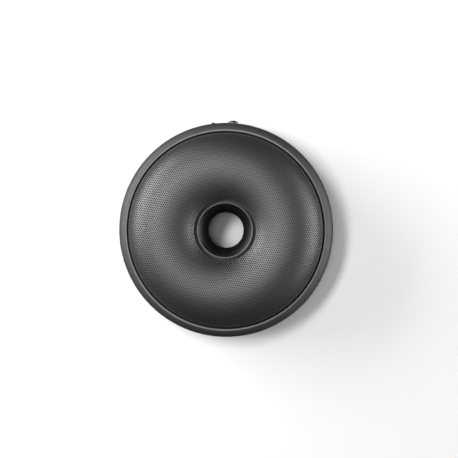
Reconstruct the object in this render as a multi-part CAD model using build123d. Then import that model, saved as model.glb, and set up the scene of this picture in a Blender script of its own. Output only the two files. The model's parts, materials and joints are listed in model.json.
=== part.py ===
from build123d import *
import os
from math import acos, asin, cos, degrees, radians, sin

# A ring-shaped portable speaker that lies on its back. Millimetres, +Z up. The origin is the
# centre of the base, +Y points to the controls, and the perforated front faces +Z.

# ---- Driving dimensions ----
OUTER_R = 78.0  # widest radius of the body
WIDEST_Z = 25.0  # height of the widest ring
BASE_Z = 1.5  # underside of the housing, above the foot
WALL = 2.2  # outer shell thickness
BOWL_R = 54.0  # radius where the flat underside turns up into the bowl
SHOULDER = 8.02  # radius of the rounded shoulder above the widest ring
LIP_R = 73.3  # outer edge of the lip
LIP_IN_R = 71.7  # inner edge of the lip
LIP_Z = 32.5  # top of the lip

GRILLE_R = 70.5  # outer edge of the grille
GRILLE_FOOT_Z = 29.5  # where the grille's skirt stands on the baffle
GRILLE_SPRING_Z = 31.0  # where the grille's dome leaves its skirt
CREST_R = 45.0  # radius of the dome's crest
CREST_Z = 50.0  # overall height
SHEET = 1.0  # grille thickness
DIP_Z = 36.5  # centre height of the curve that dips to the funnel
DIP_A = 24.2  # radial half-axis of that curve
GRILLE_IN_R = 21.8  # inner edge of the grille
COLLAR_Z = 34.5  # lower end of the collar inside the grille

RIM_R = 20.05  # outer edge of the funnel's rim
RIM_IN_R = 19.35  # where the trumpet's wall meets the rim
RIM_Z = 40.7  # top of the funnel's rim
THROAT_R = 13.0  # radius of the hole through the middle
THROAT_TOP_Z = 30.0
THROAT_LOW_Z = 22.5
FUNNEL_WALL = 1.8
SHOULDER_R = 23.0  # edge of the funnel's step that backs the collar
FUNNEL_FLANGE_R = 22.6
FUNNEL_FLANGE_Z = 31.0  # top of the flange that the funnel's screws hold

BAFFLE_T = 2.0
BAFFLE_R = 71.4
LEDGE_R = 69.5  # inner edge of the ledge that carries the baffle
LEDGE_T = 2.0
FLOOR_Z = 5.6  # top of the shell's bottom ledge
FLOOR_R = 49.5  # inner edge of the bottom ledge
SEAL_T = 0.8  # rear cover seal
COVER_T = 2.0
COVER_IN_R = 24.2

UNIT_R = 46.5  # distance of the driver and the passive radiator from the axis
UNIT_HOLE_R = 19.3  # hole in the baffle for either unit
UNIT_FLANGE_R = 23.0
UNIT_SCREW_R = 21.2
GASKET_T = 0.4
FLANGE_T = 1.5

SCREW_R = 1.0  # shank radius of all housing screws
SCREW_CLEAR_R = 1.15
CASE_SCREW_R = 51.5
CASE_SCREW_ANGLES = (45, 135, 225, 315)
BAFFLE_SCREW_R = 67.6
BAFFLE_SCREW_ANGLES = (45, 135, 225, 270, 315)
FUNNEL_SCREW_R = 25.2  # circle of the four ears on the funnel's flange
FUNNEL_EAR_R = 3.3
QUARTER_ANGLES = (45, 135, 225, 315)
BOSS_R = 3.0

BOARD_Z = 8.0  # underside of the main board
BOARD_T = 1.6
BOARD_SPAN = (27.0, 64.5, 54.0, 126.0)  # inner radius, outer radius, first and last angle
COVER_POSTS = ((31.0, 62.0), (31.0, 118.0))  # radius and angle of the board posts on the rear cover
SHELL_POSTS = ((57.0, 58.0), (57.0, 122.0))  # the same on the shell's ledge
POST_R = 2.2
USB_ANGLE = 115.0
AUX_ANGLE = 65.0

CELL_R = 9.2
CELL_L = 65.0
CELL_Y = -44.0
CELL_Z = 15.5

CONTROL_Z = 21.0  # height of the row of controls
BUTTON_X = -9.4
BUTTON_R = 1.25
BUTTON_FACE_Y = 78.4
STICK_X = 5.1
LIGHT_X = -2.0
CONTROL_BOARD_Y = 66.0  # back face of the control board
CONTROL_BOARD_T = 1.2
STICK_PIVOT_Y = 72.0
STICK_CAP_R = 3.7
STICK_FACE_Y = 79.8
CONTROL_ROOM = (-15.9, 11.9, 66.0, 73.8, 16.5, 25.4)  # room behind the controls, as two x, two y and two z
RAIL_XS = (-17.35, 13.35)  # middles of the two rails that hold the control board
USB_HOLE = (11.4, 4.6)  # length and height of the charging socket's opening
USB_Z = 11.2
AUX_HOLE_R = 3.2
AUX_Z = 12.1

# ---- Derived dimensions ----
SIDE_A = OUTER_R - BOWL_R
SIDE_B = WIDEST_Z - BASE_Z
INNER_A = SIDE_A - WALL
INNER_B = SIDE_B - WALL
COVER_TOP_Z = BASE_Z + COVER_T
SEAT_Z = COVER_TOP_Z + SEAL_T
BAFFLE_Z = GRILLE_FOOT_Z - BAFFLE_T
FLANGE_Z = GRILLE_FOOT_Z + GASKET_T
FLANGE_TOP_Z = FLANGE_Z + FLANGE_T
BOARD_TOP_Z = BOARD_Z + BOARD_T
CONTROL_FACE_Y = CONTROL_BOARD_Y + CONTROL_BOARD_T


# ---- Shape helpers ----
def turned(curve):
    """Revolve a closed outline, drawn as radius and height, about the vertical axis."""
    return revolve(make_face((Plane.XZ * curve).edges()), Axis.Z)


def outline(*points):
    """Closed straight-sided outline."""
    return Polyline(*points, close=True)


def ring(r_in, r_out, z0, z1):
    body = Cylinder(r_out, z1 - z0) - Cylinder(r_in, z1 - z0)
    return Pos(0, 0, (z0 + z1) / 2) * body


def disc(x, y, r, z0, z1):
    return Pos(x, y, (z0 + z1) / 2) * Cylinder(r, z1 - z0)


def block(x0, x1, y0, y1, z0, z1):
    centre = Pos((x0 + x1) / 2, (y0 + y1) / 2, (z0 + z1) / 2)
    return centre * Box(x1 - x0, y1 - y0, z1 - z0)


def rod_y(x, z, r, y0, y1):
    """Round bar along Y."""
    return Pos(x, (y0 + y1) / 2, z) * Rot(90, 0, 0) * Cylinder(r, y1 - y0)


def rod_x(y, z, r, x0, x1):
    """Round bar along X."""
    return Pos((x0 + x1) / 2, y, z) * Rot(0, 90, 0) * Cylinder(r, x1 - x0)


def polar(r, angle):
    return r * cos(radians(angle)), r * sin(radians(angle))


def sector(r_in, r_out, first, last, z0, z1):
    """Flat piece of a ring between two angles."""
    inner = CenterArc((0, 0), r_in, first, last - first)
    outer = CenterArc((0, 0), r_out, first, last - first)
    face = make_face((inner + outer + Line(inner @ 0, outer @ 0) + Line(inner @ 1, outer @ 1)).edges())
    return extrude(Pos(0, 0, z0) * face, z1 - z0)


def joined(pieces):
    """Union of a list of solids."""
    total = pieces[0]
    for piece in pieces[1:]:
        total = total + piece
    return total


def group(pieces):
    """Separate solids that share one node."""
    return Compound(children=list(pieces))


def ellipse_arc(centre_r, centre_z, a, b, first, last):
    return EllipticalCenterArc((centre_r, centre_z), a, b, first, arc_size=last - first)


def pan_screw(x, y, seat_z, length, head_r=1.8, head_h=1.3, shank_r=SCREW_R):
    """Screw with its head on top of seat_z and its shank below."""
    head = disc(x, y, head_r, seat_z, seat_z + head_h)
    drive = Pos(x, y, seat_z + head_h - 0.35) * Box(head_r * 1.1, 0.5, 0.7)
    cross = Pos(x, y, seat_z + head_h - 0.35) * Box(0.5, head_r * 1.1, 0.7)
    return head + disc(x, y, shank_r, seat_z - length, seat_z) - drive - cross


# ---- Housing ----
def bowl_solid():
    """Everything inside the outer surface of the bowl, up to the lip."""
    rise = degrees(asin((LIP_Z - 0.2 - WIDEST_Z) / SHOULDER))
    side = ellipse_arc(BOWL_R, WIDEST_Z, SIDE_A, SIDE_B, 270, 360)
    shoulder = CenterArc((OUTER_R - SHOULDER, WIDEST_Z), SHOULDER, 0, rise)
    top = shoulder @ 1
    close = Polyline((top.X, top.Y), (top.X - 0.2, LIP_Z), (0, LIP_Z), (0, BASE_Z), (BOWL_R, BASE_Z))
    return turned(side + shoulder + close)


def bowl_hollow():
    """The room inside the shell: cavity, baffle seat and rear opening."""
    under_ledge = WIDEST_Z - 2.0
    low = -degrees(asin((WIDEST_Z - FLOOR_Z) / INNER_B))
    high = -degrees(asin((WIDEST_Z - under_ledge) / INNER_B))
    side = ellipse_arc(BOWL_R, WIDEST_Z, INNER_A, INNER_B, low, high)
    start = side @ 0
    end = side @ 1
    path = Polyline(
        (end.X, end.Y),
        (LEDGE_R, BAFFLE_Z - LEDGE_T),
        (LEDGE_R, BAFFLE_Z),
        (LIP_IN_R, BAFFLE_Z),
        (LIP_IN_R, LIP_Z - 0.2),
        (LIP_IN_R + 0.2, LIP_Z),
        (LIP_IN_R + 0.2, LIP_Z + 1.0),
        (0, LIP_Z + 1.0),
        (0, BASE_Z - 1.0),
        (BOWL_R, BASE_Z - 1.0),
        (BOWL_R, SEAT_Z),
        (FLOOR_R, SEAT_Z),
        (FLOOR_R, FLOOR_Z),
        (start.X, start.Y),
    )
    return turned(side + path)


def control_openings():
    """Everything cut through the wall for the button, the stick and the status light."""
    far = OUTER_R + 4.0
    button = rod_y(BUTTON_X, CONTROL_Z, BUTTON_R + 0.25, 70.0, far)
    stick_pocket = rod_y(STICK_X, CONTROL_Z, STICK_CAP_R + 1.6, 74.9, far)
    stick_hole = rod_y(STICK_X, CONTROL_Z, 2.1, 70.0, far)
    light = rod_y(LIGHT_X, CONTROL_Z, 0.85, 70.0, far)
    return [button, stick_pocket, stick_hole, light]


def outer_shell():
    """Soft-touch bowl with lip, ledges, screw bosses and the rails of the control board."""
    solid = bowl_solid()
    shell = solid - bowl_hollow() - block(*CONTROL_ROOM)
    bosses = [disc(*polar(BAFFLE_SCREW_R, a), BOSS_R, 8.0, BAFFLE_Z) for a in BAFFLE_SCREW_ANGLES]
    bosses += [disc(*polar(CASE_SCREW_R, a), BOSS_R, FLOOR_Z - 0.5, 10.5) for a in CASE_SCREW_ANGLES]
    bosses += [disc(*polar(r, a), POST_R, FLOOR_Z - 0.5, BOARD_Z) for r, a in SHELL_POSTS]
    bosses.append(rod_y(STICK_X, CONTROL_Z, STICK_CAP_R + 2.8, 73.6, OUTER_R))
    for x in RAIL_XS:
        rail = block(x - 1.15, x + 1.15, 64.4, OUTER_R, 15.5, 25.2)
        slot_y = CONTROL_BOARD_Y - 0.1
        slot_x0 = min(x, x * 0.9)
        slot_x1 = max(x, x * 0.9)
        bosses.append(rail - block(slot_x0, slot_x1, slot_y, slot_y + 1.4, 17.0, 26.0))
    shell = shell + joined(bosses).intersect(solid)
    for a in BAFFLE_SCREW_ANGLES:
        shell -= disc(*polar(BAFFLE_SCREW_R, a), SCREW_R, BAFFLE_Z - 8.0, BAFFLE_Z + 0.1)
    for a in CASE_SCREW_ANGLES:
        shell -= disc(*polar(CASE_SCREW_R, a), SCREW_R, SEAT_Z - 0.1, 9.8)
    for r, a in SHELL_POSTS:
        shell -= disc(*polar(r, a), 0.8, BOARD_Z - 2.3, BOARD_Z + 0.1)
    for cutter in control_openings():
        shell -= cutter
    usb = extrude(Plane.YZ.offset(66.0) * Pos(0, USB_Z) * SlotOverall(*USB_HOLE), 14.0)
    aux = rod_x(0, AUX_Z, AUX_HOLE_R, 66.0, 80.0)
    shell -= Rot(0, 0, USB_ANGLE) * usb
    shell -= Rot(0, 0, AUX_ANGLE) * aux
    return shell


def dip_angle(a, r):
    """Angle on the dip's curve of half-axis a where the radius is r."""
    return degrees(acos((r - CREST_R) / a))


def dome(inset, spring_angle, inner_r):
    """Dome outline from its outer end over the crest to inner_r, set in by inset."""
    a = GRILLE_R - CREST_R - inset
    b = CREST_Z - GRILLE_SPRING_Z - inset
    over = ellipse_arc(CREST_R, GRILLE_SPRING_Z, a, b, spring_angle, 90)
    dip_b = CREST_Z - DIP_Z - inset
    dip = ellipse_arc(CREST_R, DIP_Z, DIP_A - inset, dip_b, 90, dip_angle(DIP_A - inset, inner_r))
    return over, dip


def front_grille():
    """Ring-shaped dome with a skirt outside and a collar round the funnel."""
    top_over, top_dip = dome(0, 0, GRILLE_IN_R)
    low_over, low_dip = dome(SHEET, 0, GRILLE_IN_R + SHEET)
    top_end = top_dip @ 1
    low_end = low_dip @ 1
    collar = Polyline(
        (top_end.X, top_end.Y),
        (GRILLE_IN_R, COLLAR_Z),
        (GRILLE_IN_R + SHEET, COLLAR_Z),
        (low_end.X, low_end.Y),
    )
    skirt = Polyline(
        (GRILLE_R - SHEET, GRILLE_SPRING_Z),
        (GRILLE_R - SHEET, GRILLE_FOOT_Z),
        (GRILLE_R, GRILLE_FOOT_Z),
        (GRILLE_R, GRILLE_SPRING_Z),
    )
    return turned(top_over + top_dip + collar + low_dip + low_over + skirt)


def acoustic_cloth():
    """Cloth liner close under the grille."""
    inner_r = GRILLE_IN_R + SHEET + 0.4
    top_over, top_dip = dome(SHEET + 0.2, 7.0, inner_r)
    low_over, low_dip = dome(SHEET + 0.6, 7.0, inner_r + 0.4)
    inner = Line(top_dip @ 1, low_dip @ 1)
    foot = Line(top_over @ 0, low_over @ 0)
    return turned(top_over + top_dip + inner + low_dip + low_over + foot)


def grille_gasket():
    """Foam ring at the bottom of the groove between lip and grille."""
    return ring(GRILLE_R + 0.1, BAFFLE_R, GRILLE_FOOT_Z, GRILLE_FOOT_Z + 0.8)


def front_baffle():
    plate = ring(17.5, BAFFLE_R, BAFFLE_Z, GRILLE_FOOT_Z)
    below = BAFFLE_Z - 0.1
    above = GRILLE_FOOT_Z + 0.1
    for side in (-1, 1):
        plate -= disc(side * UNIT_R, 0, UNIT_HOLE_R, below, above)
        for a in QUARTER_ANGLES:
            x, y = polar(UNIT_SCREW_R, a)
            plate -= disc(side * UNIT_R + x, y, SCREW_R, below, above)
    for a in BAFFLE_SCREW_ANGLES:
        plate -= disc(*polar(BAFFLE_SCREW_R, a), SCREW_CLEAR_R, below, above)
    for a in QUARTER_ANGLES:
        plate -= disc(*polar(FUNNEL_SCREW_R, a), SCREW_R, below, above)
    return plate


def baffle_screws():
    places = [polar(BAFFLE_SCREW_R, a) for a in BAFFLE_SCREW_ANGLES]
    return group(pan_screw(x, y, GRILLE_FOOT_Z, 8.0) for x, y in places)


def centre_funnel():
    """Smooth trumpet from the rim down to the throat, with an eared flange on the baffle."""
    wall = ThreePointArc((THROAT_R, THROAT_TOP_Z), (15.3, 35.75), (RIM_IN_R, RIM_Z - 0.4))
    rim = Polyline(
        (RIM_IN_R, RIM_Z - 0.4),
        (RIM_IN_R + 0.15, RIM_Z - 0.1),
        (RIM_IN_R + 0.3, RIM_Z),
        (RIM_R - 0.2, RIM_Z),
        (RIM_R, RIM_Z - 0.2),
        (RIM_R, COLLAR_Z - 0.1),
        (SHOULDER_R, COLLAR_Z - 0.1),
        (SHOULDER_R, COLLAR_Z - 1.0),
        (THROAT_R + 4.0, COLLAR_Z - 1.0),
        (THROAT_R + FUNNEL_WALL, FUNNEL_FLANGE_Z),
    )
    foot = Polyline(
        (THROAT_R + FUNNEL_WALL, FUNNEL_FLANGE_Z),
        (FUNNEL_FLANGE_R, FUNNEL_FLANGE_Z),
        (FUNNEL_FLANGE_R, GRILLE_FOOT_Z),
        (THROAT_R + FUNNEL_WALL, GRILLE_FOOT_Z),
        (THROAT_R + FUNNEL_WALL, THROAT_LOW_Z),
        (THROAT_R, THROAT_LOW_Z),
        (THROAT_R, THROAT_TOP_Z),
    )
    funnel = turned(wall + rim + foot)
    for a in QUARTER_ANGLES:
        ear = disc(*polar(FUNNEL_SCREW_R, a), FUNNEL_EAR_R, GRILLE_FOOT_Z, FUNNEL_FLANGE_Z)
        funnel += ear - disc(0, 0, FUNNEL_FLANGE_R - 1.0, GRILLE_FOOT_Z, FUNNEL_FLANGE_Z)
        funnel -= disc(*polar(FUNNEL_SCREW_R, a), SCREW_CLEAR_R, GRILLE_FOOT_Z - 0.1, FUNNEL_FLANGE_Z + 0.1)
    return funnel


def funnel_screws():
    places = [polar(FUNNEL_SCREW_R, a) for a in QUARTER_ANGLES]
    return group(pan_screw(x, y, FUNNEL_FLANGE_Z, 5.0, head_r=1.7) for x, y in places)


def rear_funnel():
    """Lower half of the hourglass, with a collar that takes the funnel's tube."""
    wall = ThreePointArc((THROAT_R, THROAT_LOW_Z), (14.6, 11.5), (19.5, BASE_Z))
    back = ThreePointArc((21.4, COVER_TOP_Z), (17.1, 11.5), (16.4, 18.0))
    bore = Line((THROAT_R, THROAT_LOW_Z), (16.4, THROAT_LOW_Z))
    collar = Polyline((16.4, THROAT_LOW_Z), (16.4, 26.0), (17.6, 26.0), (17.6, 18.0), (16.4, 18.0))
    foot = Polyline((19.5, BASE_Z), (24.0, BASE_Z), (24.0, COVER_TOP_Z), (21.4, COVER_TOP_Z))
    return turned(wall + bore + collar + back + foot)


def funnel_o_ring():
    """Seal between the funnel's tube and the rear funnel's collar."""
    return Pos(0, 0, THROAT_LOW_Z + 0.8) * Torus(15.6, 0.78)


def rear_cover():
    """Ring-shaped plate over the back, with the standoffs of the main board."""
    cover = ring(COVER_IN_R, BOWL_R - 0.2, BASE_Z, COVER_TOP_Z)
    cover -= ring(33.8, 46.2, BASE_Z - 0.1, BASE_Z + 0.5)
    for a in CASE_SCREW_ANGLES:
        x, y = polar(CASE_SCREW_R, a)
        cover -= disc(x, y, SCREW_CLEAR_R, BASE_Z - 0.1, COVER_TOP_Z + 0.1)
        cover -= disc(x, y, 2.0, BASE_Z - 0.1, BASE_Z + 1.1)
    for r, a in COVER_POSTS:
        cover += disc(*polar(r, a), POST_R, COVER_TOP_Z - 0.2, BOARD_Z)
        cover -= disc(*polar(r, a), 0.8, BOARD_Z - 2.3, BOARD_Z + 0.1)
    return cover


def housing_gasket():
    seal = ring(FLOOR_R + 0.2, BOWL_R - 0.4, COVER_TOP_Z, SEAT_Z)
    for a in CASE_SCREW_ANGLES:
        seal -= disc(*polar(CASE_SCREW_R, a), SCREW_CLEAR_R, COVER_TOP_Z - 0.1, SEAT_Z + 0.1)
    return seal


def case_screws():
    """Screws from below, their heads sunk into the rear cover."""
    screw = Rot(180, 0, 0) * pan_screw(0, 0, 0, 6.6, head_r=1.85, head_h=1.0)
    places = [polar(CASE_SCREW_R, a) for a in CASE_SCREW_ANGLES]
    return group(Pos(x, y, BASE_Z + 1.1) * screw for x, y in places)


def foot_ring():
    """Rubber ring that the speaker stands on."""
    return ring(34.0, 46.0, 0, BASE_Z + 0.5)


# ---- Loudspeaker and passive radiator ----
def at_unit(side, shape):
    """Put a piece drawn about its own axis onto the driver's or the radiator's axis."""
    return Pos(side * UNIT_R, 0, 0) * shape


def unit_gasket():
    seal = ring(19.1, 22.9, GRILLE_FOOT_Z, FLANGE_Z)
    for a in QUARTER_ANGLES:
        seal -= disc(*polar(UNIT_SCREW_R, a), SCREW_CLEAR_R, GRILLE_FOOT_Z - 0.1, FLANGE_Z + 0.1)
    return seal


def drilled_flange(shape):
    for a in QUARTER_ANGLES:
        shape -= disc(*polar(UNIT_SCREW_R, a), SCREW_CLEAR_R, FLANGE_Z - 0.1, FLANGE_TOP_Z + 0.1)
    return shape


def unit_screws(side):
    places = [polar(UNIT_SCREW_R, a) for a in QUARTER_ANGLES]
    return group(at_unit(side, pan_screw(x, y, FLANGE_TOP_Z, 3.9, head_r=1.6)) for x, y in places)


def driver_basket():
    """Stamped frame: flange, conical wall with windows, and the seat of the top plate."""
    profile = outline(
        (UNIT_FLANGE_R, FLANGE_TOP_Z),
        (UNIT_FLANGE_R, FLANGE_Z),
        (18.9, FLANGE_Z),
        (18.7, 29.0),
        (13.8, 17.5),
        (13.8, 16.0),
        (8.0, 16.0),
        (8.0, 17.2),
        (11.6, 17.2),
        (11.6, 18.6),
        (13.2, 18.6),
        (17.9, 29.4),
        (18.0, FLANGE_TOP_Z),
    )
    basket = drilled_flange(turned(profile))
    for a in (0, 90, 180, 270):
        basket -= sector(11.0, 22.0, a - 28, a + 28, 20.0, 27.0)
    return basket


def half_roll():
    """Half-round rubber edge between a moving cone and the frame round it."""
    tube = turned(
        CenterArc((16.7, FLANGE_TOP_Z), 1.85, 0, 180)
        + CenterArc((16.7, FLANGE_TOP_Z), 1.5, 0, 180)
        + Line((18.2, FLANGE_TOP_Z), (18.55, FLANGE_TOP_Z))
        + Line((14.85, FLANGE_TOP_Z), (15.2, FLANGE_TOP_Z))
    )
    outer = ring(18.3, 19.5, FLANGE_TOP_Z, FLANGE_TOP_Z + 0.35)
    inner = ring(13.4, 15.1, FLANGE_TOP_Z, FLANGE_TOP_Z + 0.35)
    return tube + outer + inner


def driver_spider():
    """Corrugated disc that centres the coil."""
    count = 14
    top = []
    for i in range(count + 1):
        wave = 0.3 if i % 2 else -0.3
        top.append((5.95 + i * 0.5, 19.15 + (0.0 if i > count - 3 else wave)))
    low = [(r, z - 0.35) for r, z in reversed(top)]
    return turned(outline(*top, *low))


def driver_cone():
    neck_z = 20.4
    rim_z = FLANGE_TOP_Z - 0.45
    return turned(
        outline(
            (5.85, neck_z),
            (6.3, neck_z),
            (14.4, rim_z),
            (15.2, rim_z),
            (15.2, FLANGE_TOP_Z - 0.05),
            (14.2, FLANGE_TOP_Z - 0.05),
            (6.25, neck_z + 0.9),
            (5.85, neck_z + 0.9),
        )
    )


def driver_dust_cap():
    top = ThreePointArc((0, 26.0), (4.2, 25.25), (7.7, 23.5))
    low = ThreePointArc((0, 25.6), (4.1, 24.88), (7.4, 23.25))
    return turned(top + low + Line((0, 25.6), (0, 26.0)) + Line(top @ 1, low @ 1))


def driver_yoke():
    return disc(0, 0, 13.8, 6.0, 8.0) + disc(0, 0, 5.3, 8.0, 16.0)


def driver_terminals():
    """Solder board on the basket's side, with two tags."""
    board = block(-4.0, 4.0, 16.9, 18.0, 18.5, 25.0)
    tags = [block(x - 0.8, x + 0.8, 18.0, 18.6, 20.5, 23.5) for x in (-2.2, 2.2)]
    return board + joined(tags)


def radiator_frame():
    profile = outline(
        (UNIT_FLANGE_R, FLANGE_TOP_Z),
        (UNIT_FLANGE_R, FLANGE_Z),
        (19.0, FLANGE_Z),
        (19.0, 26.5),
        (18.2, 26.5),
        (18.0, FLANGE_TOP_Z),
    )
    return drilled_flange(turned(profile))


# ---- Electronics ----
def main_board():
    board = sector(*BOARD_SPAN, BOARD_Z, BOARD_TOP_Z)
    for r, a in COVER_POSTS + SHELL_POSTS:
        board -= disc(*polar(r, a), 1.0, BOARD_Z - 0.1, BOARD_TOP_Z + 0.1)
    return board


def board_screws():
    places = [polar(r, a) for r, a in COVER_POSTS + SHELL_POSTS]
    return group(pan_screw(x, y, BOARD_TOP_Z, 3.8, head_r=1.6, head_h=1.0, shank_r=0.8) for x, y in places)


def bluetooth_module():
    """Small board with a shield can and a bare antenna end."""
    base = block(-20.0, -6.0, 35.0, 53.0, BOARD_TOP_Z, BOARD_TOP_Z + 0.8)
    can = block(-19.4, -6.6, 35.6, 47.5, BOARD_TOP_Z + 0.8, BOARD_TOP_Z + 2.8)
    return base + chamfer(can.edges().filter_by(Axis.Z), 0.8)


def amplifier_chip():
    chip = block(3.0, 12.0, 36.0, 45.0, BOARD_TOP_Z, BOARD_TOP_Z + 1.1)
    return chip - disc(4.2, 43.8, 0.5, BOARD_TOP_Z + 0.9, BOARD_TOP_Z + 1.2)


def capacitor_cans():
    cans = [disc(x, y, 3.2, BOARD_TOP_Z, BOARD_TOP_Z + 7.5) for x, y in ((17, 34.5), (17, 43), (9, 54))]
    return group(fillet(can.edges().sort_by(Axis.Z)[-1], 0.5) for can in cans)


def lead_connectors():
    """Two wire housings and the ribbon's socket."""
    plugs = [block(s * 25.75 - 3, s * 25.75 + 3, 40.4, 45.4, BOARD_TOP_Z, BOARD_TOP_Z + 5) for s in (-1, 1)]
    socket = block(-6.2, 2.2, 54.0, 57.5, BOARD_TOP_Z, BOARD_TOP_Z + 2.0)
    return group(plugs + [socket])


def usb_socket():
    body = block(61.3, 68.7, -4.5, 4.5, BOARD_TOP_Z, BOARD_TOP_Z + 3.2)
    mouth = block(62.5, 69.0, -4.15, 4.15, BOARD_TOP_Z + 0.35, BOARD_TOP_Z + 2.85)
    tongue = block(62.0, 67.8, -3.35, 3.35, BOARD_TOP_Z + 1.3, BOARD_TOP_Z + 1.95)
    return Rot(0, 0, USB_ANGLE) * (body - mouth + tongue)


def aux_jack():
    body = block(57.5, 68.3, -3.0, 3.0, BOARD_TOP_Z, BOARD_TOP_Z + 5.0)
    barrel = rod_x(0, AUX_Z, AUX_HOLE_R - 0.3, 68.0, 70.0)
    return Rot(0, 0, AUX_ANGLE) * (body + barrel - rod_x(0, AUX_Z, 1.8, 58.5, 71.0))


def battery_cell():
    cell = rod_x(CELL_Y, CELL_Z, CELL_R, -CELL_L / 2, CELL_L / 2)
    return fillet(cell.edges().filter_by(GeomType.CIRCLE), 0.8)


def battery_cradle():
    saddle = block(-24.0, 24.0, CELL_Y - 8.0, CELL_Y + 8.0, COVER_TOP_Z, 12.0)
    saddle -= ring(FLOOR_R - 0.2, 70.0, COVER_TOP_Z - 0.1, FLOOR_Z + 0.2)
    return saddle - rod_x(CELL_Y, CELL_Z, CELL_R + 0.05, -30.0, 30.0)


def battery_pad():
    pad = block(-12.0, 12.0, CELL_Y - 5.0, CELL_Y + 5.0, 20.0, BAFFLE_Z)
    return pad - rod_x(CELL_Y, CELL_Z, CELL_R + 0.05, -15.0, 15.0)


def protection_board():
    return rod_x(CELL_Y, CELL_Z, 8.0, CELL_L / 2, CELL_L / 2 + 1.2)


def wire_pair(points, radii, wire_r=0.6):
    """Two round leads side by side along one route of straight runs and tangent arcs."""
    wires = []
    for lift in (0.0, 1.5):
        route = FilletPolyline(*[(x, y, z + lift) for x, y, z in points], radius=radii)
        start = Plane(origin=route @ 0, z_dir=route % 0)
        wires.append(sweep(start * Circle(wire_r), path=route))
    return group(wires)


def battery_leads():
    route = [
        (28.95, 42.9, 12.0),
        (37.0, 41.0, 12.0),
        (48.5, 29.0, 12.0),
        (56.5, 8.0, 11.5),
        (56.0, -12.0, 11.5),
        (51.0, -30.0, 13.0),
        (43.5, -42.0, 14.5),
        (33.95, -44.0, 15.0),
    ]
    return wire_pair(route, [8.0, 16.0, 24.0, 24.0, 14.0, 8.0])


def driver_leads():
    route = [
        (-28.95, 42.9, 12.0),
        (-36.0, 41.5, 12.3),
        (-43.0, 35.0, 14.0),
        (-46.5, 27.0, 18.0),
        (-46.5, 18.6, 21.0),
    ]
    return wire_pair(route, [6.0, 6.0, 6.0])


def control_ribbon():
    """Flat ribbon from the back of the control board to its socket on the main board."""
    route = FilletPolyline((66.0, 19.0), (60.5, 19.0), (60.5, 10.6), (57.5, 10.6), radius=[2.6, 1.3])
    strip = trace(route, 0.3)
    return extrude(Plane.YZ.offset(-6.0) * strip, 8.0)


# ---- Controls ----
def control_board():
    return block(-17.0, 13.0, CONTROL_BOARD_Y, CONTROL_FACE_Y, 17.05, 24.9)


def status_light():
    return block(LIGHT_X - 0.8, LIGHT_X + 0.8, CONTROL_FACE_Y, CONTROL_FACE_Y + 0.8, 20.2, 21.8)


def light_pipe():
    return rod_y(LIGHT_X, CONTROL_Z, 0.8, CONTROL_FACE_Y + 1.1, 77.5)


def power_switch():
    body = block(BUTTON_X - 3, BUTTON_X + 3, CONTROL_FACE_Y, 70.0, CONTROL_Z - 2.2, CONTROL_Z + 2.2)
    return body - rod_y(BUTTON_X, CONTROL_Z, 1.3, 68.9, 70.1)


def power_plunger():
    return rod_y(BUTTON_X, CONTROL_Z, 1.0, 69.6, 73.0)


def power_button():
    cap = rod_y(BUTTON_X, CONTROL_Z, BUTTON_R, 73.0, BUTTON_FACE_Y)
    cap = fillet(cap.edges().filter_by(GeomType.CIRCLE).sort_by(Axis.Y)[-1], 0.5)
    return cap + rod_y(BUTTON_X, CONTROL_Z, 2.2, 73.0, 73.8)


def stick_switch():
    body = block(STICK_X - 3.7, STICK_X + 3.7, CONTROL_FACE_Y, 69.1, 17.3, 24.7)
    return body - rod_y(STICK_X, CONTROL_Z, 1.3, 67.6, 69.2)


def stick_plunger():
    """Sprung carrier with two ears that hold the gimbal."""
    carrier = rod_y(STICK_X, CONTROL_Z, 3.3, 69.8, 70.6) + rod_y(STICK_X, CONTROL_Z, 1.0, 68.5, 70.0)
    for s in (-1, 1):
        z = CONTROL_Z + s * 3.05
        carrier += block(STICK_X - 0.9, STICK_X + 0.9, 70.4, 72.9, z - 0.3, z + 0.3)
    return carrier - disc(STICK_X, STICK_PIVOT_Y, 0.4, CONTROL_Z - 3.5, CONTROL_Z + 3.5)


def stick_gimbal():
    """Ring on a vertical pin pair, bored across for the stem's pins."""
    gimbal = rod_y(STICK_X, CONTROL_Z, 2.4, STICK_PIVOT_Y - 0.6, STICK_PIVOT_Y + 0.6)
    gimbal += disc(STICK_X, STICK_PIVOT_Y, 0.35, CONTROL_Z - 3.3, CONTROL_Z + 3.3)
    gimbal -= rod_y(STICK_X, CONTROL_Z, 1.6, STICK_PIVOT_Y - 1.0, STICK_PIVOT_Y + 1.0)
    return gimbal - rod_x(STICK_PIVOT_Y, CONTROL_Z, 0.4, STICK_X - 3, STICK_X + 3)


def stick_stem():
    ball = Pos(STICK_X, STICK_PIVOT_Y, CONTROL_Z) * Sphere(1.1)
    pins = rod_x(STICK_PIVOT_Y, CONTROL_Z, 0.35, STICK_X - 2.3, STICK_X + 2.3)
    return ball + pins + rod_y(STICK_X, CONTROL_Z, 0.85, STICK_PIVOT_Y, 77.4)


def stick_cap():
    """Round metal nub with a domed face, pressed on the stem."""
    crown = ThreePointArc((0, STICK_FACE_Y), (2.1, STICK_FACE_Y - 0.27), (STICK_CAP_R - 0.3, 78.8))
    edge = Polyline(
        (STICK_CAP_R - 0.3, 78.8),
        (STICK_CAP_R, 78.2),
        (STICK_CAP_R, 76.7),
        (STICK_CAP_R - 0.3, 76.4),
        (0.85, 76.4),
        (0.85, 77.4),
        (0, 77.4),
        (0, STICK_FACE_Y),
    )
    profile = make_face((crown + edge).edges())
    return Pos(STICK_X, 0, CONTROL_Z) * revolve(profile, Axis.Y)


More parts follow.
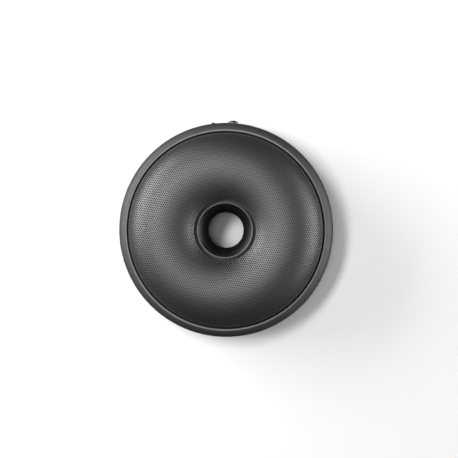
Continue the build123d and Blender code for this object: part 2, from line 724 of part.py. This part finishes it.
PARTS = {
    "front_grille": front_grille(),
    "acoustic_cloth": acoustic_cloth(),
    "grille_gasket": grille_gasket(),
    "outer_shell": outer_shell(),
    "front_baffle": front_baffle(),
    "baffle_screws": baffle_screws(),
    "centre_funnel": centre_funnel(),
    "funnel_screws": funnel_screws(),
    "rear_funnel": rear_funnel(),
    "funnel_o_ring": funnel_o_ring(),
    "rear_cover": rear_cover(),
    "housing_gasket": housing_gasket(),
    "case_screws": case_screws(),
    "foot_ring": foot_ring(),
    "driver_basket": at_unit(-1, driver_basket()),
    "driver_gasket": at_unit(-1, unit_gasket()),
    "driver_top_plate": at_unit(-1, ring(6.7, 13.5, 13.5, 16.0)),
    "driver_magnet": at_unit(-1, ring(7.6, 14.5, 8.0, 13.5)),
    "driver_yoke": at_unit(-1, driver_yoke()),
    "driver_surround": at_unit(-1, half_roll()),
    "driver_spider": at_unit(-1, driver_spider()),
    "driver_cone": at_unit(-1, driver_cone()),
    "driver_dust_cap": at_unit(-1, driver_dust_cap()),
    "driver_coil_former": at_unit(-1, ring(5.65, 5.85, 11.5, 21.6)),
    "driver_voice_coil": at_unit(-1, ring(5.85, 6.35, 12.0, 17.0)),
    "driver_terminals": at_unit(-1, driver_terminals()),
    "driver_screws": unit_screws(-1),
    "radiator_frame": at_unit(1, radiator_frame()),
    "radiator_gasket": at_unit(1, unit_gasket()),
    "radiator_surround": at_unit(1, half_roll()),
    "radiator_plate": at_unit(1, disc(0, 0, 15.2, 30.2, FLANGE_TOP_Z - 0.05)),
    "radiator_weight": at_unit(1, disc(0, 0, 8.0, 27.6, 30.2)),
    "radiator_screws": unit_screws(1),
    "main_board": main_board(),
    "board_screws": board_screws(),
    "bluetooth_module": bluetooth_module(),
    "amplifier_chip": amplifier_chip(),
    "capacitor_cans": capacitor_cans(),
    "lead_connectors": lead_connectors(),
    "usb_socket": usb_socket(),
    "aux_jack": aux_jack(),
    "battery_cell": battery_cell(),
    "battery_cradle": battery_cradle(),
    "battery_pad": battery_pad(),
    "protection_board": protection_board(),
    "battery_leads": battery_leads(),
    "driver_leads": driver_leads(),
    "control_ribbon": control_ribbon(),
    "control_board": control_board(),
    "status_light": status_light(),
    "light_pipe": light_pipe(),
    "power_switch": power_switch(),
    "power_plunger": power_plunger(),
    "power_button": power_button(),
    "stick_switch": stick_switch(),
    "stick_plunger": stick_plunger(),
    "stick_gimbal": stick_gimbal(),
    "stick_stem": stick_stem(),
    "stick_cap": stick_cap(),
}

os.makedirs("parts", exist_ok=True)
for name, shape in PARTS.items():
    export_step(shape, f"parts/{name}.step")
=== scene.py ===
import json
import math

import bpy
import numpy as np
from mathutils import Matrix, Vector
from mathutils.geometry import delaunay_2d_cdt


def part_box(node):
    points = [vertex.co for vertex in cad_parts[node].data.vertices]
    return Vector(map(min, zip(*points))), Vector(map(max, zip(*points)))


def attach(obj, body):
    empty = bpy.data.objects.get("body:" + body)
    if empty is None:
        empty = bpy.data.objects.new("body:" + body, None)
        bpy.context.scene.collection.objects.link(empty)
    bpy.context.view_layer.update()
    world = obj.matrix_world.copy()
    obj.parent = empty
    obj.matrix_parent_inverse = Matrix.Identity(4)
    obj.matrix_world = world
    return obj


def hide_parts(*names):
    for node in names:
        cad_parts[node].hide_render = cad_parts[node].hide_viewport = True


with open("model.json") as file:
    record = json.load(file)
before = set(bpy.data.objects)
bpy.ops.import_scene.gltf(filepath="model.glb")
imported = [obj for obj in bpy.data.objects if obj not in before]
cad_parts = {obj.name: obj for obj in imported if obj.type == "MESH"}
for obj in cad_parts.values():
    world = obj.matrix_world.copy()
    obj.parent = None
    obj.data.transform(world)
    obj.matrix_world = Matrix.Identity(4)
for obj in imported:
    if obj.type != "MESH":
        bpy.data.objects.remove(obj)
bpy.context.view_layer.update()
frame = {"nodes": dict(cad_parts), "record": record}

MM = 0.001

# ---- Dimensions, metres, from the frame or as in the CAD part unless a comment says otherwise ----
GRILLE_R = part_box("front_grille")[1].x
CREST_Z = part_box("front_grille")[1].z
SKIRT_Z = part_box("front_grille")[0].z
SPRING_Z = SKIRT_Z + 1.5 * MM  # where the dome leaves its skirt
CREST_R = 45 * MM
OVER_A = GRILLE_R - CREST_R  # half-axes of the curve outside the crest
OVER_B = CREST_Z - SPRING_Z
DIP_A = 24.2 * MM  # half-axes of the curve inside the crest
DIP_B = 13.5 * MM
COLLAR_R = 22.2 * MM  # 0.4 mm more than in the CAD part, for the groove round the funnel's rim
COLLAR_Z = 34.5 * MM
SHEET = 0.8 * MM  # 0.2 mm thinner than in the CAD part
WIDEST_Z = 25 * MM  # height of the body's widest ring
CLOTH_IN_R = 23.4 * MM
CLOTH_GAP = 0.35 * MM  # between the grille and the cloth
CLOTH_SLACK = 0.12 * MM
CLOTH_T = 0.25 * MM
CLOTH_STEPS = 240
CLOTH_RINGS = (40, 60)  # inside and outside the crest
CLOTH_EDGE = 0.1 * MM  # left free at the cloth's outer edge
CLOTH_WAVES = (9, 40)  # of the slack: whole waves round the ring, and radians from the axis to the crest
LIP_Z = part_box("outer_shell")[1].z
LIP_HIGHLIGHT_R = 72.7 * MM  # outer edge of the painted highlight line on the lip
LIP_HIGHLIGHT_DROP = 0.4 * MM  # how far the painted highlight comes down from the lip's top
LIP_HIGHLIGHT_GAIN = 13.0  # how much lighter the painted highlight is than the shell
FUNNEL_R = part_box("centre_funnel")[1].x
RIM_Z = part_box("centre_funnel")[1].z
# Painted highlight line along the funnel's rim: how far it comes down from the top, and how much lighter it
# is.
RIM_HIGHLIGHT_DROP = 0.5 * MM
RIM_HIGHLIGHT_GAIN = 26.0

# ---- Perforation ----
PITCH = 1.47 * MM  # as seen from above
HOLE_R = 0.53 * MM
LATTICE_TURN = math.radians(6)
HOLE_SIDES = 8
FIRST_HOLE_R = 23.2 * MM
LAST_HOLE_R = GRILLE_R - 1.5 * MM
SEAM_R = 49 * MM  # where the perforated field is split into an inner and an outer piece
CLEAN_IN_R = 22.3 * MM  # first full circle inside and outside the field
CLEAN_OUT_R = GRILLE_R - 0.6 * MM
OUTER_STEPS = 360
INNER_STEPS = 180
SKIRT_SHARES = (0.8, 0.62, 0.46, 0.3, 0.15, 0.0)  # of the angle from the last full circle to the skirt
COLLAR_BEND = 0.3 * MM  # height over which the dome turns down into the collar
CREASE = math.radians(50)  # more than the 45 degrees between two sides of a hole
MERGE = 1e-7  # metres: points nearer than this are one


# ---- Node materials ----
class Nodes:
    """Small builder for one material's node tree. Object coordinates are metres in the part's frame."""

    def __init__(self, name):
        self.material = bpy.data.materials.new(name)
        self.material.use_nodes = True
        self.tree = self.material.node_tree
        self.shader = self.tree.nodes["Principled BSDF"]
        self.place = self.tree.nodes.new("ShaderNodeTexCoord").outputs["Object"]

    def add(self, kind, **values):
        node = self.tree.nodes.new(kind)
        for key, value in values.items():
            if hasattr(node, key):
                setattr(node, key, value)
            else:
                node.inputs[key.replace("_", " ")].default_value = value
        return node

    def link(self, a, b):
        self.tree.links.new(a, b)

    def set(self, **values):
        for key, value in values.items():
            self.shader.inputs[key.replace("_", " ")].default_value = value

    def noise(self, size, detail=3.0, stretch=(1, 1, 1)):
        """Noise with features about size metres across."""
        scaled = self.add("ShaderNodeMapping")
        scaled.inputs["Scale"].default_value = [s / size for s in stretch]
        self.link(self.place, scaled.inputs["Vector"])
        node = self.add("ShaderNodeTexNoise", Scale=1.0, Detail=detail)
        self.link(scaled.outputs["Vector"], node.inputs["Vector"])
        return node.outputs["Fac"]

    def cells(self, size):
        node = self.add("ShaderNodeTexVoronoi", Scale=1 / size)
        self.link(self.place, node.inputs["Vector"])
        return node.outputs["Distance"]

    def spread(self, value, low, high):
        """Map a 0 to 1 value onto low to high."""
        node = self.add("ShaderNodeMapRange")
        node.inputs["To Min"].default_value = low
        node.inputs["To Max"].default_value = high
        self.link(value, node.inputs["Value"])
        return node.outputs["Result"]

    def band(self, value, start, end):
        """Map start to 0 and end to 1."""
        node = self.add("ShaderNodeMapRange")
        node.inputs["From Min"].default_value = start
        node.inputs["From Max"].default_value = end
        self.link(value, node.inputs["Value"])
        return node.outputs["Result"]

    def tint(self, value, dark, light):
        """Colour between dark and light, following value."""
        node = self.add("ShaderNodeMix", data_type="RGBA")
        node.inputs[6].default_value = (*dark, 1)
        node.inputs[7].default_value = (*light, 1)
        self.link(value, node.inputs["Factor"])
        return node.outputs[2]

    def bump(self, height, depth, strength=1.0, under=None):
        node = self.add("ShaderNodeBump", Strength=strength, Distance=depth)
        self.link(height, node.inputs["Height"])
        if under is not None:
            self.link(under, node.inputs["Normal"])
        return node.outputs["Normal"]

    def finish(self, colour, rough, normal):
        self.link(colour, self.shader.inputs["Base Color"])
        self.link(rough, self.shader.inputs["Roughness"])
        self.link(normal, self.shader.inputs["Normal"])
        return self.material


def painted_edge_highlight(n, colour, height, radius, factor):
    """Lighten the colour above a height and inside a radius: a painted highlight standing for an edge that
    catches the light.
    """
    flat = n.add("ShaderNodeVectorMath", operation="MULTIPLY")
    flat.inputs[1].default_value = (1, 1, 0)
    n.link(n.place, flat.inputs[0])
    across = n.add("ShaderNodeVectorMath", operation="LENGTH")
    n.link(flat.outputs["Vector"], across.inputs[0])
    split = n.add("ShaderNodeSeparateXYZ")
    n.link(n.place, split.inputs[0])
    above = n.band(split.outputs["Z"], height, height + 0.1 * MM)
    inside = n.band(across.outputs["Value"], radius + 0.1 * MM, radius)
    both = n.add("ShaderNodeMath", operation="MULTIPLY")
    n.link(above, both.inputs[0])
    n.link(inside, both.inputs[1])
    # painted highlight: the colour made lighter by the factor inside the mask
    highlight_mix = n.add("ShaderNodeMix", data_type="RGBA", blend_type="MULTIPLY")
    highlight_mix.inputs[7].default_value = (factor, factor, factor, 1)
    n.link(both.outputs[0], highlight_mix.inputs["Factor"])
    n.link(colour, highlight_mix.inputs[6])
    return highlight_mix.outputs[2]


def lighter(colour, factor):
    return tuple(min(1.0, c * factor) for c in colour)


def grained(name, colour, rough, grain=0.35 * MM, depth=0.02 * MM, spread=0.25, edge=None, **sockets):
    """Moulded plastic or rubber: fine grain and slight blotches, maybe with a painted highlight along an
    edge.
    """
    n = Nodes(name)
    n.set(**sockets)
    blotch = n.noise(9 * MM)
    tone = n.tint(blotch, lighter(colour, 1 - spread), lighter(colour, 1 + spread))
    if edge is not None:
        # painted highlight along the edge
        tone = painted_edge_highlight(n, tone, *edge)
    gloss = n.spread(n.noise(4 * MM), rough - 0.06, rough + 0.06)
    coarse = n.bump(n.noise(grain, detail=4), depth)
    return n.finish(tone, gloss, n.bump(n.cells(grain * 1.6), depth * 0.5, 0.5, coarse))


def brushed(name, colour, rough, grain=0.08 * MM, stretch=(1, 1, 0.06), metallic=1.0):
    """Metal with fine scratches along one direction."""
    n = Nodes(name)
    n.set(Metallic=metallic)
    scratch = n.noise(grain, detail=5, stretch=stretch)
    tone = n.tint(scratch, lighter(colour, 0.8), lighter(colour, 1.15))
    gloss = n.spread(scratch, rough - 0.08, rough + 0.12)
    return n.finish(tone, gloss, n.bump(scratch, 0.004 * MM, 0.6))


def woven(name, colour, thread=0.3 * MM, rough=0.95, sheen=0.2):
    """Cloth: two crossed sets of threads with loose fibres."""
    n = Nodes(name)
    n.set(Sheen_Weight=sheen, Specular_IOR_Level=0.15)
    heights = []
    per_metre = math.pi / (10 * thread)
    for direction in ("X", "Y"):
        wave = n.add("ShaderNodeTexWave", bands_direction=direction, Scale=per_metre, Distortion=0.6)
        n.link(n.place, wave.inputs["Vector"])
        heights.append(wave.outputs["Fac"])
    crossed = n.add("ShaderNodeMath", operation="MULTIPLY")
    n.link(heights[0], crossed.inputs[0])
    n.link(heights[1], crossed.inputs[1])
    tone = n.tint(crossed.outputs[0], lighter(colour, 0.6), lighter(colour, 1.5))
    fibre = n.bump(n.noise(0.1 * MM), 0.02 * MM, 0.4)
    gloss = n.spread(n.noise(2 * MM), rough - 0.05, min(1.0, rough + 0.05))
    return n.finish(tone, gloss, n.bump(crossed.outputs[0], 0.08 * MM, 0.8, fibre))


def powder_coat(name, colour, rough, gloss_level=0.5):
    """Sprayed metal: orange peel, faint speckle, satin gloss."""
    n = Nodes(name)
    n.set(Metallic=0.0, IOR=1.84, Specular_IOR_Level=gloss_level)
    speckle = n.noise(0.12 * MM, detail=2)
    tone = n.tint(speckle, lighter(colour, 0.75), lighter(colour, 1.25))
    gloss = n.spread(n.noise(1.2 * MM), rough - 0.05, rough + 0.05)
    peel = n.bump(n.noise(0.25 * MM, detail=2), 0.008 * MM, 0.7)
    return n.finish(tone, gloss, n.bump(speckle, 0.003 * MM, 0.6, peel))


def make_materials():
    """One finish for each material slot of the record."""
    plastic = {
        "inner_plastic": ((0.022, 0.022, 0.024), 0.6),
        "cover_plastic": ((0.03, 0.03, 0.033), 0.6),
        "chip_resin": ((0.015, 0.015, 0.016), 0.5),
        "connector_plastic": ((0.62, 0.6, 0.52), 0.45),
        "jack_plastic": ((0.012, 0.012, 0.013), 0.45),
        "switch_plastic": ((0.05, 0.05, 0.05), 0.5),
        "foam": ((0.008, 0.008, 0.008), 0.95),
        "foot_rubber": ((0.014, 0.014, 0.014), 0.8),
        "seal_rubber": ((0.012, 0.012, 0.012), 0.7),
        "button_rubber": ((0.03, 0.03, 0.033), 0.55),
        "ferrite": ((0.05, 0.05, 0.055), 0.7),
        "cone_paper": ((0.03, 0.03, 0.03), 0.85),
        "cell_wrap": ((0.03, 0.12, 0.3), 0.25),
        "lead_insulation": ((0.3, 0.012, 0.012), 0.4),
        "ribbon_film": ((0.6, 0.6, 0.57), 0.35),
        "board_laminate": ((0.01, 0.06, 0.025), 0.3),
        "lens": ((0.75, 0.78, 0.8), 0.35),
    }
    metal = {
        "screw_steel": ((0.16, 0.16, 0.17), 0.35),
        "pole_steel": ((0.5, 0.5, 0.5), 0.35),
        "coil_former": ((0.75, 0.75, 0.76), 0.3),
        "copper": ((0.6, 0.22, 0.09), 0.3),
        "shield_can": ((0.6, 0.6, 0.6), 0.35),
        "can_aluminium": ((0.72, 0.72, 0.74), 0.25),
        "socket_steel": ((0.5, 0.5, 0.5), 0.3),
        "nub_metal": ((0.24, 0.24, 0.245), 0.4),
    }
    made = {slot: grained(slot, *values) for slot, values in plastic.items()}
    made.update({slot: brushed(slot, *values) for slot, values in metal.items()})
    made["grille_metal"] = powder_coat("grille_metal", (0.0095, 0.0095, 0.0103), 0.55, 1.0)
    # The shell's lip carries a painted highlight line: a lighter colour along its top edge.
    made["soft_touch_shell"] = grained(
        "soft_touch_shell", (0.011, 0.011, 0.012), 0.66,
        edge=(LIP_Z - LIP_HIGHLIGHT_DROP, LIP_HIGHLIGHT_R, LIP_HIGHLIGHT_GAIN), IOR=1.6, Specular_IOR_Level=1.0,
    )
    # The funnel's rim carries a painted highlight line: a lighter colour along its top edge.
    made["funnel_plastic"] = grained(
        "funnel_plastic", (0.006, 0.006, 0.0066), 0.42,
        edge=(RIM_Z - RIM_HIGHLIGHT_DROP, FUNNEL_R, RIM_HIGHLIGHT_GAIN), Specular_IOR_Level=0.45,
    )
    made["basket_steel"] = powder_coat("basket_steel", (0.02, 0.02, 0.02), 0.4)
    made["acoustic_cloth"] = woven("acoustic_cloth", (0.005, 0.005, 0.0055), sheen=0.0)
    made["spider_cloth"] = woven("spider_cloth", (0.4, 0.22, 0.07))
    return made


# ---- Mesh helpers ----
def new_piece(name, verts, faces, material, body="root"):
    """Mesh object that rides on a body and fills a material slot."""
    mesh = bpy.data.meshes.new(name)
    mesh.from_pydata([tuple(v) for v in verts], [], [tuple(f) for f in faces])
    mesh.materials.append(material)
    mesh.update()
    piece = bpy.data.objects.new(name, mesh)
    bpy.context.scene.collection.objects.link(piece)
    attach(piece, body)
    return piece


def thickened(verts, normals, faces, thickness):
    """Closed sheet under a surface: the surface, its inset copy, and walls along every open edge."""
    count = len(verts)
    low = verts - normals * thickness
    edges = {}
    for face in faces:
        for a, b in zip(face, face[1:] + face[:1]):
            edges[(a, b)] = True
    walls = [(b, a, a + count, b + count) for a, b in edges if (b, a) not in edges]
    under = [tuple(i + count for i in reversed(face)) for face in faces]
    return np.vstack([verts, low]), list(faces) + under + walls


def smooth_but_crisp(piece, angle=math.radians(40)):
    """Shade smooth, with every edge sharper than angle kept crisp."""
    piece.data.polygons.foreach_set("use_smooth", [True] * len(piece.data.polygons))
    piece.data.set_sharp_from_angle(angle=angle)


def flat_map(piece, count, extent):
    """Map seen from above, the upper side on the left half and the lower side on the right, for baking."""
    mesh = piece.data
    layer = mesh.uv_layers.new(name="OFBake")
    co = np.zeros(len(mesh.vertices) * 3, np.float32)
    mesh.vertices.foreach_get("co", co)
    co = co.reshape(-1, 3)
    vertex = np.zeros(len(mesh.loops), np.int32)
    mesh.loops.foreach_get("vertex_index", vertex)
    uv = np.empty((len(vertex), 2), np.float32)
    uv[:, 0] = 0.25 + co[vertex, 0] / extent * 0.24 + np.where(vertex >= count, 0.5, 0.0)
    uv[:, 1] = 0.5 + co[vertex, 1] / extent * 0.48
    layer.data.foreach_set("uv", uv.ravel())


# ---- Dome of the grille ----
def dome_point(r):
    """Height and unit normal, as (z, outward part, upward part), of the dome at radius r."""
    outside = r >= CREST_R
    a = np.where(outside, OVER_A, DIP_A)
    b = np.where(outside, OVER_B, DIP_B)
    x = r - CREST_R
    rise = np.sqrt(np.clip(1 - (x / a) ** 2, 0, 1))
    out = x / a**2
    up = rise / b
    size = np.hypot(out, up)
    return CREST_Z - b + b * rise, out / size, up / size


def on_dome(points):
    """Lift flat points onto the dome and return them with their normals."""
    r = np.hypot(points[:, 0], points[:, 1])
    z, out, up = dome_point(r)
    verts = np.column_stack([points, z])
    normals = np.column_stack([points / r[:, None] * out[:, None], up])
    return verts, normals


def lattice(r_max):
    """Lattice steps and centres, hexagonal, out to r_max."""
    a1 = PITCH * np.array([math.cos(LATTICE_TURN), math.sin(LATTICE_TURN)])
    turn = LATTICE_TURN + math.radians(60)
    a2 = PITCH * np.array([math.cos(turn), math.sin(turn)])
    reach = int(r_max / PITCH * 1.2) + 2  # over 2 / sqrt(3) steps for each pitch of the radius
    centres = {}
    for i in range(-reach, reach + 1):
        for j in range(-reach, reach + 1):
            centre = i * a1 + j * a2
            if np.hypot(*centre) <= r_max:
                centres[(i, j)] = centre
    return a1, a2, centres


# The six corners of a cell, in thirds of the lattice steps, counter-clockwise from 30 degrees.
CORNERS = ((1, 1), (-1, 2), (-2, 1), (-1, -1), (1, -2), (2, -1))


def zip_rings(outer_angles, inner_angles):
    """Triangles between two rings given by their angles: pairs (ring, index)."""
    order = sorted(
        [(a, 0, i) for i, a in enumerate(outer_angles)] + [(a, 1, i) for i, a in enumerate(inner_angles)]
    )
    last = [max(range(len(outer_angles)), key=outer_angles.__getitem__),
            max(range(len(inner_angles)), key=inner_angles.__getitem__)]
    triangles = []
    for _, which, index in order:
        old = (which, last[which])
        other = (1 - which, last[1 - which])
        new = (which, index)
        triangles.append((old, new, other) if which == 0 else (other, new, old))
        last[which] = index
    return triangles


def perforated_field(r_from, r_to):
    """Flat perforated field: points, faces, and the cells it covers."""
    a1, a2, centres = lattice(LAST_HOLE_R + 3 * PITCH)
    covered = {k: c for k, c in centres.items() if r_from <= np.hypot(*c) < r_to}
    corner_angles = [30 + 60 * k for k in range(6)]
    hole_angles = [360 / HOLE_SIDES * (k + 0.5) for k in range(HOLE_SIDES)]
    web = zip_rings(corner_angles, hole_angles)
    turned = [LATTICE_TURN + math.radians(a) for a in hole_angles]
    hole = [HOLE_R * np.array([math.cos(a), math.sin(a)]) for a in turned]
    points, faces, corners = [], [], {}
    for (i, j), centre in covered.items():
        ids = [[], []]
        for di, dj in CORNERS:
            key = (3 * i + di, 3 * j + dj)
            if key not in corners:
                corners[key] = len(points)
                points.append(key[0] / 3 * a1 + key[1] / 3 * a2)
            ids[0].append(corners[key])
        for offset in hole:
            ids[1].append(len(points))
            points.append(centre + offset)
        for triangle in web:
            faces.append(tuple(ids[which][index] for which, index in triangle))
    return points, faces, centres, covered, corners


def edge_fill(points, faces, centres, covered, corners, circle_r, steps, outside):
    """Sheet between the field's jagged edge and a full circle. Returns the circle's point numbers."""
    directed = set()
    for face in faces:
        for a, b in zip(face, face[1:] + face[:1]):
            directed.add((a, b))
    corner_ids = set(corners.values())
    jagged = [(a, b) for a, b in directed if (b, a) not in directed and a in corner_ids and b in corner_ids]
    cell_r = [np.hypot(*centre) for centre in covered.values()]
    middle = (min(cell_r) + max(cell_r)) / 2
    jagged = [e for e in jagged if (np.hypot(*points[e[0]]) > middle) == outside]
    ids = sorted({i for e in jagged for i in e})
    local = {i: n for n, i in enumerate(ids)}
    circle = [(circle_r * math.cos(2 * math.pi * k / steps), circle_r * math.sin(2 * math.pi * k / steps))
              for k in range(steps)]
    flat = [Vector(points[i]) for i in ids] + [Vector(p) for p in circle]
    edges = [(local[a], local[b]) for a, b in jagged]
    edges += [(len(ids) + k, len(ids) + (k + 1) % steps) for k in range(steps)]
    new, _, triangles, source, _, _ = delaunay_2d_cdt(flat, edges, [], 0, MERGE)
    first = len(points)
    points.extend(np.array(p) for p in circle)
    number = []
    for n, origin in enumerate(source):
        k = origin[0]
        number.append(ids[k] if k < len(ids) else first + k - len(ids))
    centre_array = np.array(list(centres.values()))
    centre_r = np.hypot(*centre_array.T)
    for triangle in triangles:
        centroid = np.mean([new[n] for n in triangle], axis=0)
        nearest = centre_r[int(np.argmin(((centre_array - centroid) ** 2).sum(1)))]
        beyond_field = nearest > max(cell_r) if outside else nearest < min(cell_r)
        if not beyond_field or (np.hypot(*centroid) > circle_r) == outside:
            continue
        faces.append(tuple(number[n] for n in triangle))
    return [first + k for k in range(steps)]


def add_rings(verts, normals, faces, start, rings, outside):
    """Continue the surface from the point numbers in start through rings of (r, z, out, up)."""
    steps = len(start)
    angles = np.arange(steps) * 2 * math.pi / steps
    c, s = np.cos(angles), np.sin(angles)
    previous = list(start)
    for r, z, out, up in rings:
        ids = [len(verts) + k for k in range(steps)]
        verts = np.vstack([verts, np.column_stack([r * c, r * s, np.full(steps, z)])])
        normals = np.vstack([normals, np.column_stack([out * c, out * s, np.full(steps, up)])])
        for k in range(steps):
            n = (k + 1) % steps
            quad = (previous[k], ids[k], ids[n], previous[n])
            faces.append(quad if outside else quad[::-1])
        previous = ids
    return verts, normals, faces


def skirt_rings():
    """Rings from the last full circle over the dome's edge and down the skirt."""
    start = math.acos((CLEAN_OUT_R - CREST_R) / OVER_A)
    rings = []
    for share in SKIRT_SHARES:
        t = start * share
        out, up = math.cos(t) / OVER_A, math.sin(t) / OVER_B
        size = math.hypot(out, up)
        rings.append((CREST_R + OVER_A * math.cos(t), SPRING_Z + OVER_B * math.sin(t), out / size, up / size))
    rings.append((GRILLE_R, SKIRT_Z, 1.0, 0.0))
    return rings


def collar_rings():
    """Rings from the innermost full circle down the collar beside the funnel's rim."""
    z, out, up = (float(v) for v in dome_point(np.array(COLLAR_R)))
    bend = (COLLAR_R, z - COLLAR_BEND, -1.0, 0.0)
    return [(COLLAR_R, z, out, up), bend, (COLLAR_R, COLLAR_Z, -1.0, 0.0)]


def grille_piece(name, r_from, r_to, material):
    """One half of the perforated dome with its plain edge, as a closed sheet."""
    outside = r_to > SEAM_R
    points, faces, centres, covered, corners = perforated_field(r_from, r_to)
    circle_r, steps = (CLEAN_OUT_R, OUTER_STEPS) if outside else (CLEAN_IN_R, INNER_STEPS)
    start = edge_fill(points, faces, centres, covered, corners, circle_r, steps, outside)
    verts, normals = on_dome(np.array(points))
    rings = skirt_rings() if outside else collar_rings()
    verts, normals, faces = add_rings(verts, normals, faces, start, rings, outside)
    count = len(verts)
    verts, faces = thickened(verts, normals, faces, SHEET)
    piece = new_piece(name, verts, faces, material)
    smooth_but_crisp(piece, CREASE)
    flat_map(piece, count, GRILLE_R)
    return piece


def make_grille(materials):
    """Both halves of the perforated dome, in place of the plain CAD sheet."""
    outer = grille_piece("grille_outer_field", SEAM_R, LAST_HOLE_R, materials["grille_metal"])
    inner = grille_piece("grille_inner_field", FIRST_HOLE_R, SEAM_R, materials["grille_metal"])
    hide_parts("front_grille")
    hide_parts("front_grille")
    return outer, inner


# ---- Cloth behind the grille ----
def make_cloth(materials):
    """Stretched cloth liner just under the grille, with slight slack between the holes."""
    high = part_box("acoustic_cloth")[1]
    gap = SHEET + CLOTH_GAP
    inward = np.linspace(CLOTH_IN_R, CREST_R, CLOTH_RINGS[0])
    outward = np.linspace(CREST_R, high.x - CLOTH_EDGE, CLOTH_RINGS[1])
    radii = np.concatenate([inward, outward[1:]])
    angles = np.arange(CLOTH_STEPS) * 2 * math.pi / CLOTH_STEPS
    grid_r, grid_a = np.meshgrid(radii, angles, indexing="ij")
    z, out, up = dome_point(grid_r)
    wave = np.sin(grid_a * CLOTH_WAVES[0] + CLOTH_WAVES[1] * grid_r / CREST_R)
    slack = gap + CLOTH_SLACK * (1 + wave) / 2
    r = grid_r - out * slack
    verts = np.stack([r * np.cos(grid_a), r * np.sin(grid_a), z - up * slack], -1).reshape(-1, 3)
    normals = np.stack([out * np.cos(grid_a), out * np.sin(grid_a), up], -1).reshape(-1, 3)
    faces = []
    for i in range(len(radii) - 1):
        inner = i * CLOTH_STEPS
        outer = inner + CLOTH_STEPS
        for k in range(CLOTH_STEPS):
            n = (k + 1) % CLOTH_STEPS
            faces.append((inner + k, outer + k, outer + n, inner + n))
    verts, faces = thickened(verts, normals, faces, CLOTH_T)
    cloth = new_piece("acoustic_cloth_liner", verts, faces, materials["acoustic_cloth"])
    smooth_but_crisp(cloth)
    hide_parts("acoustic_cloth")
    return cloth


# ---- Stage ----
FRAME_WIDTH = 333.4 * MM  # what the camera sees across, at the height of the widest ring
AIM = (2.27 * MM, 0.7 * MM)  # where the camera looks, beside the hole's axis
LEAN = (37 * MM, 15.5 * MM)  # how far the camera stands off the vertical
LENS = 100.0  # millimetres, as the sensor
SENSOR = 36.0
LIGHT_DISTANCE = 1.1
TABLE_R = 0.62  # round table, smaller than the circle the lights stand on
TABLE_SIDES = 128


def make_camera():
    """Camera almost straight above, with the controls at the top of the frame."""
    distance = FRAME_WIDTH * LENS / SENSOR
    target = Vector((*AIM, WIDEST_Z))
    place = target + Vector((*LEAN, distance))
    back = (place - target).normalized()
    right = Vector((0, 1, 0)).cross(back).normalized()
    up = back.cross(right)
    data = bpy.data.cameras.new("camera")
    data.lens = LENS
    data.sensor_width = SENSOR
    data.clip_end = 20
    camera = bpy.data.objects.new("camera", data)
    camera.matrix_world = Matrix.Translation(place) @ Matrix((right, up, back)).transposed().to_4x4()
    bpy.context.scene.collection.objects.link(camera)
    bpy.context.scene.camera = camera


def soft_box(name, azimuth, elevation, size, power):
    """Soft box aimed at the object, LIGHT_DISTANCE away. Azimuth is counter-clockwise from +X."""
    data = bpy.data.lights.new(name, "AREA")
    data.shape = "RECTANGLE"
    data.size, data.size_y = size
    data.energy = power
    light = bpy.data.objects.new(name, data)
    a, e = math.radians(azimuth), math.radians(elevation)
    aim = Vector((0, 0, WIDEST_Z))
    away = Vector((math.cos(a) * math.cos(e), math.sin(a) * math.cos(e), math.sin(e)))
    light.location = aim + away * LIGHT_DISTANCE
    light.rotation_mode = "QUATERNION"
    light.rotation_quaternion = away.to_track_quat("Z", "Y")
    light.visible_camera = False
    bpy.context.scene.collection.objects.link(light)


def make_world(glow, backdrop):
    """Faint glow from the whole room, with a pale backdrop where the camera looks past the table."""
    world = bpy.data.worlds.new("studio")
    world.use_nodes = True
    tree = world.node_tree
    path = tree.nodes.new("ShaderNodeLightPath")
    strength = tree.nodes.new("ShaderNodeMapRange")
    strength.inputs["To Min"].default_value = glow
    strength.inputs["To Max"].default_value = backdrop
    tree.links.new(path.outputs["Is Camera Ray"], strength.inputs["Value"])
    background = tree.nodes["Background"]
    background.inputs["Color"].default_value = (1, 1, 1, 1)
    tree.links.new(strength.outputs["Result"], background.inputs["Strength"])
    bpy.context.scene.world = world


def make_floor():
    """White round table top."""
    n = Nodes("white_table")
    tone = n.tint(n.noise(30 * MM), (0.95, 0.95, 0.95), (0.97, 0.97, 0.97))
    n.finish(tone, n.spread(n.noise(5 * MM), 0.7, 0.8), n.bump(n.noise(0.6 * MM), 0.002 * MM, 0.2))
    angles = [2 * math.pi * k / TABLE_SIDES for k in range(TABLE_SIDES)]
    circle = [(TABLE_R * math.cos(a), TABLE_R * math.sin(a), 0) for a in angles]
    mesh = bpy.data.meshes.new("table_top")
    mesh.from_pydata(circle, [], [range(TABLE_SIDES)])
    mesh.materials.append(n.material)
    floor = bpy.data.objects.new("table_top", mesh)
    bpy.context.scene.collection.objects.link(floor)
    floor.visible_glossy = False


def make_stage():
    make_camera()
    make_world(0.022, 1.0)
    soft_box("left_wall", 158, 19, (1.1, 0.55), 15.5)
    soft_box("overhead_left", 155, 67, (0.5, 0.2), 6.9)
    soft_box("top_fill", 175, 88, (0.3, 0.3), 1.4)
    soft_box("right_strip", 1, 14, (0.9, 0.5), 9.8)
    make_floor()
    bpy.context.scene.view_settings.view_transform = "Standard"


def dress_nodes(materials):
    """Give every CAD node the finish of its slot."""
    slots = {part["node"]: part["material_slot"] for part in frame["record"]["subparts"]}
    for name, node in frame["nodes"].items():
        for material_slot in node.material_slots:
            material_slot.material = materials[slots[name]]


make_stage()
materials = make_materials()
dress_nodes(materials)
outer_field, inner_field = make_grille(materials)
make_cloth(materials)
